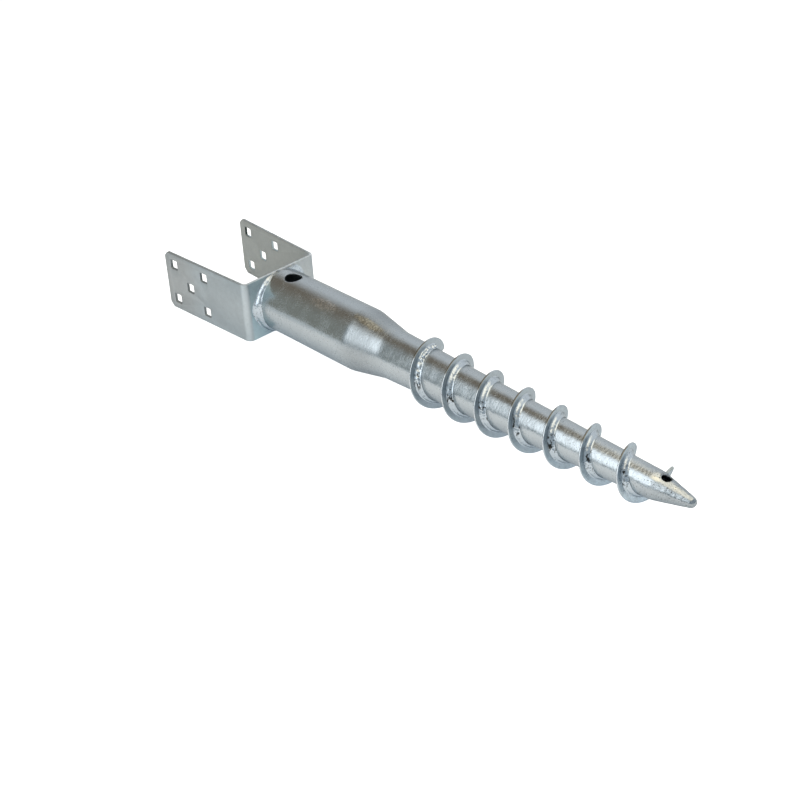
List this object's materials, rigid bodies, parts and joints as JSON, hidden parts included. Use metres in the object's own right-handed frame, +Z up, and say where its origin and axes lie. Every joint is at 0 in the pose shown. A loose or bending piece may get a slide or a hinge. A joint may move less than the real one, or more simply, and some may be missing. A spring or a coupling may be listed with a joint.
{
  "type": "helical pile",
  "caption": "Helical ground pile: swaged steel tube with a closed point, a welded spiral flight and a folded U bracket with square bolt holes for a timber post.",
  "frame": {"origin": "centre of the post seat, the inner face of the bracket's web", "axes": "+X along the pile from the post seat to the tip, Y across the bracket from cheek to cheek, +Z up as the pile lies on its side"},
  "size_m": [0.6894, 0.1094, 0.071],
  "materials": {
    "galvanised_sheet": "satin hot-dip galvanised, faintly mottled",
    "galvanised_tube": "bright hot-dip galvanised over drawn and swaged tube",
    "galvanised_strip": "satin hot-dip galvanised",
    "galvanised_weld": "rippled weld bead under bright zinc"
  },
  "bodies": {
    "root": {"u_bracket": "galvanised_sheet", "pile_tube": "galvanised_tube", "helical_flight": "galvanised_strip", "flight_weld": "galvanised_weld", "head_weld": "galvanised_weld"}
  },
  "joints": []
}
